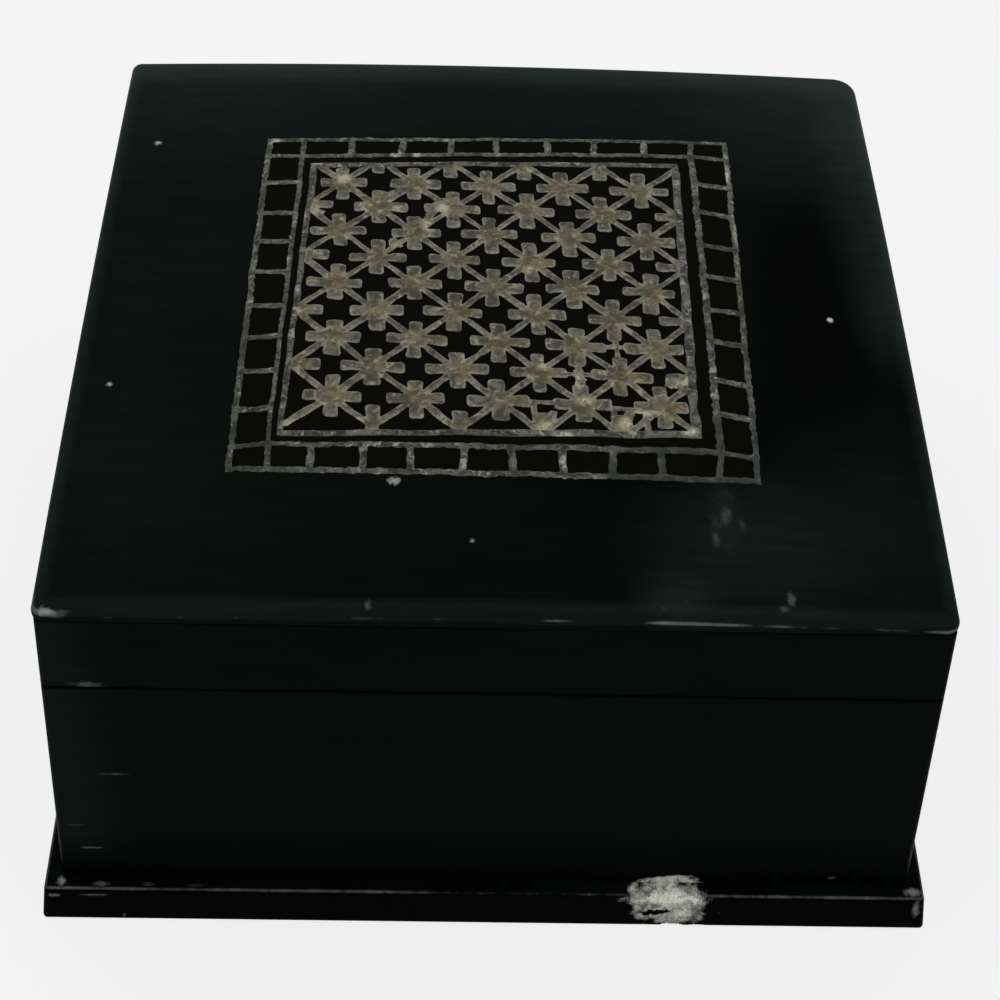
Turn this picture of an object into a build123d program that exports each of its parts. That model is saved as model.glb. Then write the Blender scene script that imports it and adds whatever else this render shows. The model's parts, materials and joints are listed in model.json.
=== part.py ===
import os
from math import asin, atan, atan2, cos, degrees, hypot, radians, sin, sqrt, tan

from build123d import *

# Box: a square truncated pyramid sawn apart at the lid, standing on a wider base board
lid_width = 140.0  # across the top of the lid's rails, both ways
batter = 2.26  # degrees that every side leans out on its way down
plinth_thickness = 8.2
plinth_reach = 2.4  # the base board's top beyond the foot of the walls
plinth_flare = 1.0  # its underside beyond its top
plinth_edge_radius = 0.8
wall_height = 48.5
wall_thickness = 6.5  # walls and rails, measured level
rail_height = 15.2
corner_radius = 1.0  # rounding of the upright corners
arris = 0.3  # chamfer that draws each dark joint line

# Lid panel: a thin board with a slight dome
panel_edge = 2.5  # thickness at the corners
crown_rise = 2.7  # middle of the dome above the corners
panel_corner_radius = 2.2
panel_edge_radius = 2.0

# Inlay: four flat leaves that follow the dome, and line places are their centres
inlay_middle_y = 1.8  # the pattern sits a little towards the back
inlay_relief = 0.3  # the pattern stands above its ground
ground_thickness = 0.5  # at its corners
ground_margin = 0.5  # ground beyond the ladder's outer line
frame_width, frame_depth = 67.0, 70.6
frame_line = 1.7
stars_across = 5
star_arm_width = 2.5
star_arm_span = 9.8
star_arm_bevel = 0.7
star_waist = 1.9  # from the star's middle to the notch between two slanted rays
star_ray = 5.4  # from the star's middle to the point of a slanted ray
diagonal_line = 1.35
border_gap = 2.8  # frame to the ladder's inner line
ladder_side, ladder_end = 6.3, 5.0  # inner to outer line, left and right, then front and back
ladder_line = 1.25
side_rungs, front_rungs, back_rungs = 8, 8, 7

# Hinges: two brass butt hinges let into both edges at the back
hinge_from_side = 28.6  # side face to the middle of the hinge
hinge_length = 20.0
hinge_inset = 1.2  # pin axis inside the back face
barrel_radius = 1.4
knuckle_count = 3
knuckle_gap = 0.1
pin_radius = 0.6
pin_clearance = 0.05  # radial, in the lid's knuckles
leaf_thickness = 0.7
leaf_gap = 0.1  # from each leaf to the plane where box and lid meet
leaf_margin = 0.5  # wood left between the leaf and the inside of the wall
pocket_clearance = 0.2
stop_angle = 50.0  # slope of the two arrises that meet when the lid is fully open
screw_radius = 0.6
screw_length = 6.0
screw_head_margin = 0.3  # leaf left round the countersink
screw_sides = 12
screw_spread = 11.0

# Linings and brads
lining_thickness = 1.0
lining_clearance = 0.3
brad_thickness, brad_width = 1.0, 1.25
brad_length = 18.0
brad_recess = 0.4  # punched in below the underside
brad_from_corner = 32.5  # corner of the walls' foot to the nearest brad

# Levels, going up
wall_foot = plinth_thickness
seam = wall_foot + wall_height
joint = seam + rail_height
crown_top = joint + panel_edge + crown_rise


def half_at(height):
    """Half the outer width of walls and rails at a height."""
    return lid_width / 2 + (joint - height) * tan(radians(batter))


# Dome: one sphere, so that its rise from the lid's corners to its middle is crown_rise
corner_distance = hypot(lid_width / 2, lid_width / 2)
crown_radius = (corner_distance**2 + crown_rise**2) / (2 * crown_rise)
crown_centre = crown_top - crown_radius


def crown_height(distance):
    """Height of the dome at a distance from the middle."""
    return crown_centre + sqrt(crown_radius**2 - distance**2)


def rounded_crown():
    """The solid under the dome, its front and back faces rounded over into it.

    It is turned about the level line through the dome's centre, so the round-over is a ring
    rolled against the face and the dome, and the dome's pole lies outside the panel.
    """
    ball_y = lid_width / 2 - panel_edge_radius
    ball_z = sqrt((crown_radius - panel_edge_radius) ** 2 - ball_y**2)
    lean = atan2(ball_z, ball_y)
    on_dome = (crown_radius * cos(lean), crown_radius * sin(lean))
    halfway = (
        ball_y + panel_edge_radius * cos(lean / 2),
        ball_z + panel_edge_radius * sin(lean / 2),
    )
    floor = ball_z - 2 * (panel_edge + crown_rise)
    swing = degrees(asin(corner_distance / crown_radius))
    start = Plane(
        origin=(0, 0, crown_centre),
        x_dir=(0, 1, 0),
        z_dir=(cos(radians(swing)), 0, sin(radians(swing))),
    )
    with BuildPart() as crown:
        with BuildSketch(start):
            with BuildLine():
                CenterArc((0, 0), crown_radius, degrees(lean), 180 - 2 * degrees(lean))
                for way in (-1, 1):
                    ThreePointArc(
                        (way * on_dome[0], on_dome[1]),
                        (way * halfway[0], halfway[1]),
                        (way * lid_width / 2, ball_z),
                    )
                    Line((way * lid_width / 2, ball_z), (way * lid_width / 2, floor))
                Line((-lid_width / 2, floor), (lid_width / 2, floor))
            make_face()
        revolve(axis=Axis((0, 0, crown_centre), (0, 1, 0)), revolution_arc=2 * swing)
    return crown.part


def tapered_frame(low, high):
    """Four boards in one piece: a hollow frame whose faces all lean by the batter."""
    with BuildPart() as frame:
        with BuildSketch(Plane.XY.offset(low)):
            Rectangle(2 * half_at(low), 2 * half_at(low))
        extrude(amount=high - low, taper=batter)
        level = frame.faces().filter_by(Axis.Z).edges()
        fillet(frame.edges() - level, corner_radius)
        with BuildSketch(Plane.XY.offset(low)):
            Rectangle(2 * (half_at(low) - wall_thickness), 2 * (half_at(low) - wall_thickness))
        extrude(amount=high - low, taper=batter, mode=Mode.SUBTRACT)
    return frame.part


def outer_edges(part, height):
    """The level edges of a frame's outer face at a height."""
    inside = half_at(height) - wall_thickness / 2
    level = part.edges().filter_by_position(Axis.Z, height - 0.01, height + 0.01)
    return level.filter_by(lambda edge: max(abs(edge.center().X), abs(edge.center().Y)) > inside)


def mitred_board(frame, side):
    """One side of a frame, cut out by the two mitre planes through its corners."""
    left_mitre = Plane(origin=(0, 0, 0), z_dir=side + Vector(side.Y, -side.X, 0))
    right_mitre = Plane(origin=(0, 0, 0), z_dir=side - Vector(side.Y, -side.X, 0))
    with BuildPart() as board:
        add(frame)
        split(bisect_by=left_mitre, keep=Keep.TOP)
        split(bisect_by=right_mitre, keep=Keep.TOP)
    return board.part


front, back, left, right = Vector(0, -1, 0), Vector(0, 1, 0), Vector(-1, 0, 0), Vector(1, 0, 0)

# Hinge line: the pin axis runs along X in the plane where box and lid meet
hinge_y = half_at(seam) - hinge_inset
pocket_radius = barrel_radius + pocket_clearance
mortise_depth = leaf_gap + leaf_thickness
leaf_edge_y = half_at(seam) - wall_thickness + leaf_margin
leaf_start_y = hinge_y - pocket_radius
screw_y = (leaf_edge_y + leaf_start_y) / 2
screw_head_radius = (leaf_start_y - leaf_edge_y) / 2 - screw_head_margin
hinge_x = half_at(seam) - hinge_from_side
hinge_places = {"left": -hinge_x, "right": hinge_x}
hinge_plane = Plane(origin=(0, hinge_y, seam), x_dir=(0, 1, 0), z_dir=(1, 0, 0))


def stop_wedge(up):
    """The strip cut off the back arris so that box and lid meet there when fully open."""
    rise = up * 3 * hinge_inset * tan(radians(stop_angle))
    with BuildPart() as wedge:
        with BuildSketch(hinge_plane):
            with BuildLine():
                Polyline((0, 0), (3 * hinge_inset, 0), (3 * hinge_inset, rise), close=True)
            make_face()
        extrude(amount=lid_width, both=True)
    return wedge.part


def hinge_recess(x, up):
    """Pocket for the barrel, mortise for a leaf and pilot holes for its two screws."""
    with BuildPart() as recess:
        with BuildSketch(hinge_plane.offset(x)):
            Circle(pocket_radius)
        extrude(amount=hinge_length / 2 + pocket_clearance, both=True)
        with BuildSketch(Plane.XY.offset(seam)):
            with Locations((x, (leaf_edge_y + hinge_y) / 2)):
                Rectangle(hinge_length, hinge_y - leaf_edge_y)
        extrude(amount=up * mortise_depth)
        with BuildSketch(Plane.XY.offset(seam)):
            with Locations((x - screw_spread / 2, screw_y), (x + screw_spread / 2, screw_y)):
                RegularPolygon(screw_radius, screw_sides, major_radius=False)
        extrude(amount=up * screw_length)
    return recess.part


# Base board: a square board with flared sides, fixed by two brads up into each wall
plinth_half = half_at(wall_foot) + plinth_reach + plinth_flare
plinth_slope = degrees(atan(plinth_flare / plinth_thickness))
brad_line = half_at(wall_foot) - wall_thickness / 2
brad_x = half_at(wall_foot) - brad_from_corner
brad_places = [
    Location((0, 0, 0), (0, 0, turn)) * Location((x, -brad_line, 0))
    for turn in (0, 90, 180, 270)
    for x in (-brad_x, brad_x)
]

with BuildPart() as base_brads:
    with BuildSketch(Plane.XY.offset(brad_recess)):
        with Locations(*brad_places):
            Rectangle(brad_width, brad_thickness)
    extrude(amount=brad_length)

with BuildPart() as plinth_board:
    with BuildSketch():
        Rectangle(2 * plinth_half, 2 * plinth_half)
    extrude(amount=plinth_thickness, taper=plinth_slope)
    underside = plinth_board.faces().sort_by(Axis.Z)[0].edges()
    fillet(plinth_board.edges() - underside, plinth_edge_radius)
    with BuildSketch():
        with Locations(*brad_places):
            Rectangle(brad_width, brad_thickness)
    extrude(amount=plinth_thickness, mode=Mode.SUBTRACT)

# Walls: a tapered frame, cut at the mitres, with the brads' holes in every foot
with BuildPart() as wall_frame:
    add(tapered_frame(wall_foot, seam))
    chamfer(outer_edges(wall_frame, seam), arris)
    add(base_brads.part, mode=Mode.SUBTRACT)
    add(stop_wedge(-1), mode=Mode.SUBTRACT)

with BuildPart() as front_wall:
    add(mitred_board(wall_frame.part, front))

with BuildPart() as left_wall:
    add(mitred_board(wall_frame.part, left))

with BuildPart() as right_wall:
    add(mitred_board(wall_frame.part, right))

with BuildPart() as back_wall:
    add(mitred_board(wall_frame.part, back))
    for place in hinge_places.values():
        add(hinge_recess(place, -1), mode=Mode.SUBTRACT)

# Lid rails: the same frame above the saw cut
with BuildPart() as rail_frame:
    add(tapered_frame(seam, joint))
    chamfer(outer_edges(rail_frame, seam) + outer_edges(rail_frame, joint), arris)
    add(stop_wedge(1), mode=Mode.SUBTRACT)

with BuildPart() as lid_front_rail:
    add(mitred_board(rail_frame.part, front))

with BuildPart() as lid_left_rail:
    add(mitred_board(rail_frame.part, left))

with BuildPart() as lid_right_rail:
    add(mitred_board(rail_frame.part, right))

with BuildPart() as lid_back_rail:
    add(mitred_board(rail_frame.part, back))
    for place in hinge_places.values():
        add(hinge_recess(place, 1), mode=Mode.SUBTRACT)

# Pattern lines: sizes of the ladder, from the frame outwards
inner_width, inner_depth = frame_width + 2 * border_gap, frame_depth + 2 * border_gap
outer_width, outer_depth = inner_width + 2 * ladder_side, inner_depth + 2 * ladder_end
ground_width = outer_width + ladder_line + 2 * ground_margin
ground_depth = outer_depth + ladder_line + 2 * ground_margin
inlay_reach = hypot(ground_width, ground_depth)
crown_fall = (crown_top - crown_height(ground_width / 2)) / (ground_width / 2)
inlay_low = crown_top - crown_fall * (ground_width + ground_depth) / 2 - ground_thickness
inlay_plane = Plane(origin=(0, inlay_middle_y, inlay_low))
inlay_rise = crown_top + inlay_relief - inlay_low


def crown_leaves(low, high):
    """A layer between two lifts above four flat leaves, which fall away from the pattern's middle."""
    middle = Plane(origin=(0, inlay_middle_y, crown_top), x_dir=(1, 0, 0), z_dir=(0, -1, 0))
    drop = crown_fall * inlay_reach
    with BuildPart() as leaves:
        for way in (-1, 1):
            with BuildSketch(middle):
                with BuildLine():
                    Polyline(
                        (-inlay_reach, low - drop),
                        (0, low),
                        (inlay_reach, low - drop),
                        (inlay_reach, high - drop),
                        (0, high),
                        (-inlay_reach, high - drop),
                        close=True,
                    )
                make_face()
            extrude(amount=inlay_reach, dir=(0, way, -crown_fall))
    return leaves.part


with BuildPart() as inlay_pocket:
    with BuildSketch(inlay_plane):
        Rectangle(ground_width, ground_depth)
    extrude(amount=inlay_rise)

with BuildPart() as inlay_ground:
    add(inlay_pocket.part)
    add(crown_leaves(inlay_low - crown_top, 0), mode=Mode.INTERSECT)

# Lid panel: four mitred quarters with one dome, rounded over, and a flat pocket for the inlay
with BuildPart() as panel_blank:
    with BuildSketch(Plane.XY.offset(joint)):
        RectangleRounded(lid_width, lid_width, panel_corner_radius)
    extrude(amount=panel_edge + crown_rise)
    add(rounded_crown(), mode=Mode.INTERSECT)

with BuildPart() as lid_panel:
    for turn in (0, 90):
        for side in (front, back):
            add(mitred_board(panel_blank.part, side), rotation=(0, 0, turn))
    chamfer(lid_panel.faces().sort_by(Axis.Z)[0].edges(), arris)
    add(inlay_pocket.part, mode=Mode.SUBTRACT)

relief_layer = crown_leaves(0, inlay_relief)

with BuildPart() as inner_frame:
    with BuildSketch(inlay_plane):
        Rectangle(frame_width + frame_line, frame_depth + frame_line)
        Rectangle(frame_width - frame_line, frame_depth - frame_line, mode=Mode.SUBTRACT)
    extrude(amount=inlay_rise)
    add(relief_layer, mode=Mode.INTERSECT)

with BuildPart() as ladder_border:
    with BuildSketch(inlay_plane):
        Rectangle(outer_width + ladder_line, outer_depth + ladder_line)
        Rectangle(outer_width - ladder_line, outer_depth - ladder_line, mode=Mode.SUBTRACT)
        with Locations((-inner_width / 2, 0), (inner_width / 2, 0)):
            Rectangle(ladder_line, outer_depth)
        with Locations((0, -inner_depth / 2), (0, inner_depth / 2)):
            Rectangle(outer_width, ladder_line)
        for count, y in ((front_rungs, -1), (back_rungs, 1)):
            with Locations((0, y * (inner_depth + ladder_end) / 2)):
                with GridLocations(inner_width / (count + 1), 1, count, 1):
                    Rectangle(ladder_line, ladder_end)
        for x in (-1, 1):
            with Locations((x * (inner_width + ladder_side) / 2, 0)):
                with GridLocations(1, inner_depth / (side_rungs + 1), 1, side_rungs):
                    Rectangle(ladder_side, ladder_line)
    extrude(amount=inlay_rise)
    add(relief_layer, mode=Mode.INTERSECT)

# Star lattice: whole stars in every cell and on every crossing, half stars against the frame
pitch_x, pitch_y = frame_width / stars_across, frame_depth / stars_across
slope = hypot(pitch_x, pitch_y)
ray_x, ray_y = star_ray * pitch_x / slope, star_ray * pitch_y / slope

with BuildSketch() as star:
    for turn in (0, 90):
        Rectangle(star_arm_span, star_arm_width, rotation=turn)
    arm_ends = star.vertices().filter_by(lambda end: max(abs(end.X), abs(end.Y)) > star_arm_width)
    chamfer(arm_ends, star_arm_bevel)
    with BuildLine():
        Polyline((ray_x, ray_y), (0, star_waist), (-ray_x, ray_y), (-star_waist, 0))
        Polyline((-star_waist, 0), (-ray_x, -ray_y), (0, -star_waist), (ray_x, -ray_y))
        Polyline((ray_x, -ray_y), (star_waist, 0), (ray_x, ray_y))
    make_face()

with BuildSketch() as lattice_cell:
    add(star.sketch)
    with GridLocations(pitch_x, pitch_y, 2, 2):
        add(star.sketch)
    for lean in (-1, 1):
        Rectangle(slope, diagonal_line, rotation=lean * degrees(atan2(pitch_y, pitch_x)))
    Rectangle(pitch_x, pitch_y, mode=Mode.INTERSECT)

with BuildSketch() as lattice_row:
    with GridLocations(pitch_x, pitch_y, stars_across, 1):
        add(lattice_cell.sketch)

with BuildPart() as star_lattice:
    with BuildSketch(inlay_plane):
        with GridLocations(pitch_x, pitch_y, 1, stars_across):
            add(lattice_row.sketch)
        Rectangle(frame_width - frame_line, frame_depth - frame_line, mode=Mode.INTERSECT)
    extrude(amount=inlay_rise)
    add(relief_layer, mode=Mode.INTERSECT)

# Hinges: rolled brass leaves with interleaved knuckles on one pin
knuckle_pitch = hinge_length / knuckle_count


with BuildPart() as leaf_screw:
    with BuildSketch(Plane.XY.offset(leaf_gap)):
        RegularPolygon(screw_head_radius, screw_sides, major_radius=False)
    extrude(
        amount=leaf_thickness,
        taper=degrees(atan((screw_head_radius - screw_radius) / leaf_thickness)),
    )
    with BuildSketch(Plane.XY.offset(mortise_depth)):
        RegularPolygon(screw_radius, screw_sides, major_radius=False)
    extrude(amount=screw_length - mortise_depth)


def screw_places(x, up):
    """Two countersunk screws in a leaf, pointing up into the lid or down into the box."""
    turn = 0 if up > 0 else 180
    return [
        Location((x + side * screw_spread / 2, screw_y, seam), (turn, 0, 0)) for side in (-1, 1)
    ]


def hinge_leaf(x, up, knuckles):
    """One leaf, lying along its mortise, with knuckles rolled from it round the pin."""
    bore = pin_radius if up < 0 else pin_radius + pin_clearance
    with BuildPart() as leaf:
        with BuildSketch(Plane.XY.offset(seam + up * leaf_gap)):
            with Locations((x, (leaf_edge_y + leaf_start_y) / 2)):
                Rectangle(hinge_length, leaf_start_y - leaf_edge_y)
            for knuckle in knuckles:
                with Locations((x + (knuckle - (knuckle_count - 1) / 2) * knuckle_pitch, 0)):
                    with Locations((0, (leaf_start_y + hinge_y) / 2 - leaf_margin)):
                        Rectangle(
                            knuckle_pitch - knuckle_gap,
                            hinge_y - leaf_start_y + 2 * leaf_margin,
                        )
        extrude(amount=up * leaf_thickness)
        for knuckle in knuckles:
            middle = x + (knuckle - (knuckle_count - 1) / 2) * knuckle_pitch
            with BuildSketch(hinge_plane.offset(middle)):
                Circle(barrel_radius)
            extrude(amount=(knuckle_pitch - knuckle_gap) / 2, both=True)
        with BuildSketch(hinge_plane.offset(x)):
            Circle(bore)
        extrude(amount=hinge_length / 2, both=True, mode=Mode.SUBTRACT)
        with Locations(*screw_places(x, up)):
            add(leaf_screw.part, mode=Mode.SUBTRACT)
    return leaf.part


box_knuckles = range(0, knuckle_count, 2)
lid_knuckles = range(1, knuckle_count, 2)

with BuildPart() as left_hinge_box_leaf:
    add(hinge_leaf(hinge_places["left"], -1, box_knuckles))

with BuildPart() as right_hinge_box_leaf:
    add(hinge_leaf(hinge_places["right"], -1, box_knuckles))

with BuildPart() as left_hinge_lid_leaf:
    add(hinge_leaf(hinge_places["left"], 1, lid_knuckles))

with BuildPart() as right_hinge_lid_leaf:
    add(hinge_leaf(hinge_places["right"], 1, lid_knuckles))

with BuildPart() as left_hinge_pin:
    with BuildSketch(hinge_plane.offset(hinge_places["left"])):
        Circle(pin_radius)
    extrude(amount=hinge_length / 2, both=True)

with BuildPart() as right_hinge_pin:
    with BuildSketch(hinge_plane.offset(hinge_places["right"])):
        Circle(pin_radius)
    extrude(amount=hinge_length / 2, both=True)

with BuildPart() as box_leaf_screws:
    for place in hinge_places.values():
        with Locations(*screw_places(place, -1)):
            add(leaf_screw.part)

with BuildPart() as lid_leaf_screws:
    for place in hinge_places.values():
        with Locations(*screw_places(place, 1)):
            add(leaf_screw.part)

# Linings: felt on card, one on the base board and one under the lid panel
with BuildPart() as floor_lining:
    with BuildSketch(Plane.XY.offset(wall_foot)):
        floor_side = 2 * (half_at(wall_foot) - wall_thickness - lining_clearance)
        Rectangle(floor_side, floor_side)
    extrude(amount=lining_thickness, taper=batter)

with BuildPart() as lid_lining:
    with BuildSketch(Plane.XY.offset(joint)):
        ceiling_side = 2 * (half_at(joint) - wall_thickness - lining_clearance)
        Rectangle(ceiling_side, ceiling_side)
    extrude(amount=-lining_thickness)

os.makedirs("parts", exist_ok=True)
plinth_board.part.label = "plinth_board"
export_step(plinth_board.part, "parts/plinth_board.step")
base_brads.part.label = "base_brads"
export_step(base_brads.part, "parts/base_brads.step")
front_wall.part.label = "front_wall"
export_step(front_wall.part, "parts/front_wall.step")
back_wall.part.label = "back_wall"
export_step(back_wall.part, "parts/back_wall.step")
left_wall.part.label = "left_wall"
export_step(left_wall.part, "parts/left_wall.step")
right_wall.part.label = "right_wall"
export_step(right_wall.part, "parts/right_wall.step")
floor_lining.part.label = "floor_lining"
export_step(floor_lining.part, "parts/floor_lining.step")
lid_panel.part.label = "lid_panel"
export_step(lid_panel.part, "parts/lid_panel.step")
lid_front_rail.part.label = "lid_front_rail"
export_step(lid_front_rail.part, "parts/lid_front_rail.step")
lid_back_rail.part.label = "lid_back_rail"
export_step(lid_back_rail.part, "parts/lid_back_rail.step")
lid_left_rail.part.label = "lid_left_rail"
export_step(lid_left_rail.part, "parts/lid_left_rail.step")
lid_right_rail.part.label = "lid_right_rail"
export_step(lid_right_rail.part, "parts/lid_right_rail.step")
lid_lining.part.label = "lid_lining"
export_step(lid_lining.part, "parts/lid_lining.step")
inlay_ground.part.label = "inlay_ground"
export_step(inlay_ground.part, "parts/inlay_ground.step")
star_lattice.part.label = "star_lattice"
export_step(star_lattice.part, "parts/star_lattice.step")
inner_frame.part.label = "inner_frame"
export_step(inner_frame.part, "parts/inner_frame.step")
ladder_border.part.label = "ladder_border"
export_step(ladder_border.part, "parts/ladder_border.step")
left_hinge_box_leaf.part.label = "left_hinge_box_leaf"
export_step(left_hinge_box_leaf.part, "parts/left_hinge_box_leaf.step")
left_hinge_lid_leaf.part.label = "left_hinge_lid_leaf"
export_step(left_hinge_lid_leaf.part, "parts/left_hinge_lid_leaf.step")
left_hinge_pin.part.label = "left_hinge_pin"
export_step(left_hinge_pin.part, "parts/left_hinge_pin.step")
right_hinge_box_leaf.part.label = "right_hinge_box_leaf"
export_step(right_hinge_box_leaf.part, "parts/right_hinge_box_leaf.step")
right_hinge_lid_leaf.part.label = "right_hinge_lid_leaf"
export_step(right_hinge_lid_leaf.part, "parts/right_hinge_lid_leaf.step")
right_hinge_pin.part.label = "right_hinge_pin"
export_step(right_hinge_pin.part, "parts/right_hinge_pin.step")
box_leaf_screws.part.label = "box_leaf_screws"
export_step(box_leaf_screws.part, "parts/box_leaf_screws.step")
lid_leaf_screws.part.label = "lid_leaf_screws"
export_step(lid_leaf_screws.part, "parts/lid_leaf_screws.step")
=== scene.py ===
import json
from math import cos, pi, radians, sin, sqrt, tan

import bpy
import numpy as np
from mathutils import Matrix, Vector


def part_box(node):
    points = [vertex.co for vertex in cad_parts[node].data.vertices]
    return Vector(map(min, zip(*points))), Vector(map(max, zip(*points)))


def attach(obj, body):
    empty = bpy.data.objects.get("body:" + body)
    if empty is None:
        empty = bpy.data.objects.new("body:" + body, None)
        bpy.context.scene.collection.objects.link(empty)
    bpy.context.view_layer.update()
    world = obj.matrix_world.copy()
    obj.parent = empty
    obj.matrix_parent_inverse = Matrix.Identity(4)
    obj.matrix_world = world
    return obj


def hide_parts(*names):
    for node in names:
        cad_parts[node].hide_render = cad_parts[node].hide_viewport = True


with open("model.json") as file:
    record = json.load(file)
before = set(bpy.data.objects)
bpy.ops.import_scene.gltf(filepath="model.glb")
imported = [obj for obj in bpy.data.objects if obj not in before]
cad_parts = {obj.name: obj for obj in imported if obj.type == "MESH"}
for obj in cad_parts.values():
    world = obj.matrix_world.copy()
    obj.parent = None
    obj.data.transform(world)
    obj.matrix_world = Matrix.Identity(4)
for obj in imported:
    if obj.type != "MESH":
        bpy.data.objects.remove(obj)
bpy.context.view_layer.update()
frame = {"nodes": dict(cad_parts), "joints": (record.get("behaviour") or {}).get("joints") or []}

# Base board: a square hardwood board, planed and lacquered black, that the whole box stands on.
# Its edges are softened by hand, and a bruise on the front has broken the lacquer away down to
# the pale chalky ground under it.


def node_box(name):
    """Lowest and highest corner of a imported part, in millimetres."""
    low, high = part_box(name)
    return np.array(low) * 1000, np.array(high) * 1000


def side_path(straight, corner_steps=8):
    """One side of a rounded square, from the middle of one corner to the middle of the next.

    Slide runs from -1 to 1 along the straight, and turn swings an eighth of a turn at each end.
    """
    swing = np.linspace(-pi / 4, 0, corner_steps, endpoint=False)
    slide = np.concatenate([-np.ones(corner_steps), straight, np.ones(corner_steps)])
    turn = np.concatenate([swing, np.zeros(len(straight)), -swing[::-1]])
    return slide, turn


def side_points(side, half, radius, slide, turn):
    """Points on side 0 to 3 (front, right, back, left) of a rounded square.

    Along the side: slide times the straight's half length, plus radius times the sine of turn.
    Outwards: the straight's distance plus radius times the cosine of turn.
    """
    along = slide * (half - radius) + radius * np.sin(turn)
    out = (half - radius) + radius * np.cos(turn)
    return [(along, -out), (out, along), (-along, out), (-out, -along)][side]


def ring_points(half, radius, slide, turn):
    """The whole rounded square as one closed ring: its four sides without the shared points."""
    sides = [side_points(k, half, radius, slide, turn) for k in range(4)]
    x = np.concatenate([x[..., :-1] for x, y in sides], axis=-1)
    y = np.concatenate([y[..., :-1] for x, y in sides], axis=-1)
    return x, y


def grid_faces(rows, columns):
    """Quads between rows of points, each of which runs right round and joins up."""
    row, column = np.meshgrid(np.arange(rows - 1), np.arange(columns), indexing="ij")
    after = (column + 1) % columns
    corners = [(row, column), (row, after), (row + 1, after), (row + 1, column)]
    return np.stack([r * columns + c for r, c in corners], axis=-1).reshape(-1, 4)


def fan_faces(ring, middle):
    """Triangles from a closed ring of point numbers to one point in its middle."""
    return np.stack([ring, np.roll(ring, -1), np.full(len(ring), middle)], axis=-1)


def make_piece(name, points, *faces, crease=40):
    """A mesh object at the origin, from points in millimetres and groups of quads or triangles."""
    mesh = bpy.data.meshes.new(name)
    corners = np.concatenate([group.ravel() for group in faces])
    sizes = np.concatenate([np.full(len(group), group.shape[1]) for group in faces])
    mesh.vertices.add(len(points))
    mesh.vertices.foreach_set("co", (points / 1000).astype(np.float32).ravel())
    mesh.loops.add(len(corners))
    mesh.loops.foreach_set("vertex_index", corners.astype(np.int32))
    mesh.polygons.add(len(sizes))
    mesh.polygons.foreach_set("loop_start", (np.cumsum(sizes) - sizes).astype(np.int32))
    mesh.update(calc_edges=True)
    mesh.validate()
    mesh.shade_smooth()
    mesh.set_sharp_from_angle(angle=radians(crease))
    piece = bpy.data.objects.new(name, mesh)
    bpy.context.scene.collection.objects.link(piece)
    return piece


def wrapped_piece(name, x, y, z, middles, order=1):
    """A closed skin: rows of points that run round, and a fan to a middle point at either end.

    Order -1 turns the faces about, for rows that run round the other way.
    """
    rows, columns = x.shape
    points = np.stack([x, y, z], axis=-1).reshape(-1, 3)
    ring = np.arange(columns)[::-order]
    return make_piece(
        name,
        np.concatenate([points, middles]),
        grid_faces(rows, columns)[:, ::order],
        fan_faces(ring, len(points)),
        fan_faces(ring[::-1] + (rows - 1) * columns, len(points) + 1),
    )


def paint(piece, **fields):
    """Stores a number from 0 to 1 per point for each field, which the materials read.

    The points past the end of a field, in the middles of the two fans, get nought.
    """
    for name, values in fields.items():
        painted = np.zeros(len(piece.data.vertices), np.float32)
        painted[:np.size(values)] = np.clip(values, 0, 1).ravel()
        piece.data.attributes.new(name, "FLOAT", "POINT").data.foreach_set("value", painted)


def ease(low, high, values):
    """Nought below low, one above high, and a smooth cubic step between them."""
    share = np.clip((values - low) / (high - low), 0, 1)
    return share * share * (3 - 2 * share)


def ripple(x, y, size, seed):
    """Uneven surface between about -1 and 1: eight sines of random heading, length and phase."""
    rng = np.random.default_rng(seed)
    headings, stretches = rng.uniform(0, pi, 8), rng.uniform(0.6, 2.2, 8)
    phases = rng.uniform(0, 2 * pi, 8)
    total = np.zeros(np.broadcast(x, y).shape)
    for heading, stretch, phase in zip(headings, stretches, phases):
        along = x * cos(heading) + y * sin(heading)
        total += np.sin(along * 2 * pi / (size * stretch) + phase)
    return total / 4


least_radius = 0.05
board_high = node_box("plinth_board")[1]
board_flare = 1.0
board_half, board_top = board_high[0] - board_flare, board_high[2]
board_edge = 0.8
board_foot_edge = 1.0
wall_low, wall_high = node_box("front_wall")
foot_half, foot, seam = wall_high[0], wall_low[2], wall_high[2]
seam_half = node_box("lid_front_rail")[1][0]
lean = (foot_half - seam_half) / (seam - foot)
bruise_middle, bruise_width, bruise_height = 30.7, 7.6, 5.4

# profile from the underside up: how far in from the side, and how high
quarter = np.linspace(0, pi / 2, 7)
under = [40, 15, 5, 2]
over = [1.1, 1.7, 2.4, 3.2, 5, 12, 40]
side_rows = 30
board_in = np.concatenate([
    under,
    board_foot_edge * (1 - np.sin(quarter)),
    np.zeros(side_rows),
    board_edge * (1 - np.cos(quarter)),
    over,
])[:, None]
board_up = np.concatenate([
    np.zeros(len(under)),
    board_foot_edge * (1 - np.cos(quarter)),
    np.linspace(board_foot_edge, board_top - board_edge, side_rows + 2)[1:-1],
    board_top - board_edge * (1 - np.sin(quarter)),
    np.full(len(over), board_top),
])[:, None]
near_bruise = np.linspace(bruise_middle - 10, bruise_middle + 10, 130) / board_half
slide, turn = side_path(np.union1d(np.linspace(-1, 1, 180), near_bruise))
board_out = board_half + board_flare * (1 - board_up / board_top)
corner = np.maximum(board_edge - board_in, least_radius)
board_x, board_y = ring_points(board_out - board_in, corner, slide, turn)
board_z = np.broadcast_to(board_up, board_x.shape)

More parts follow.
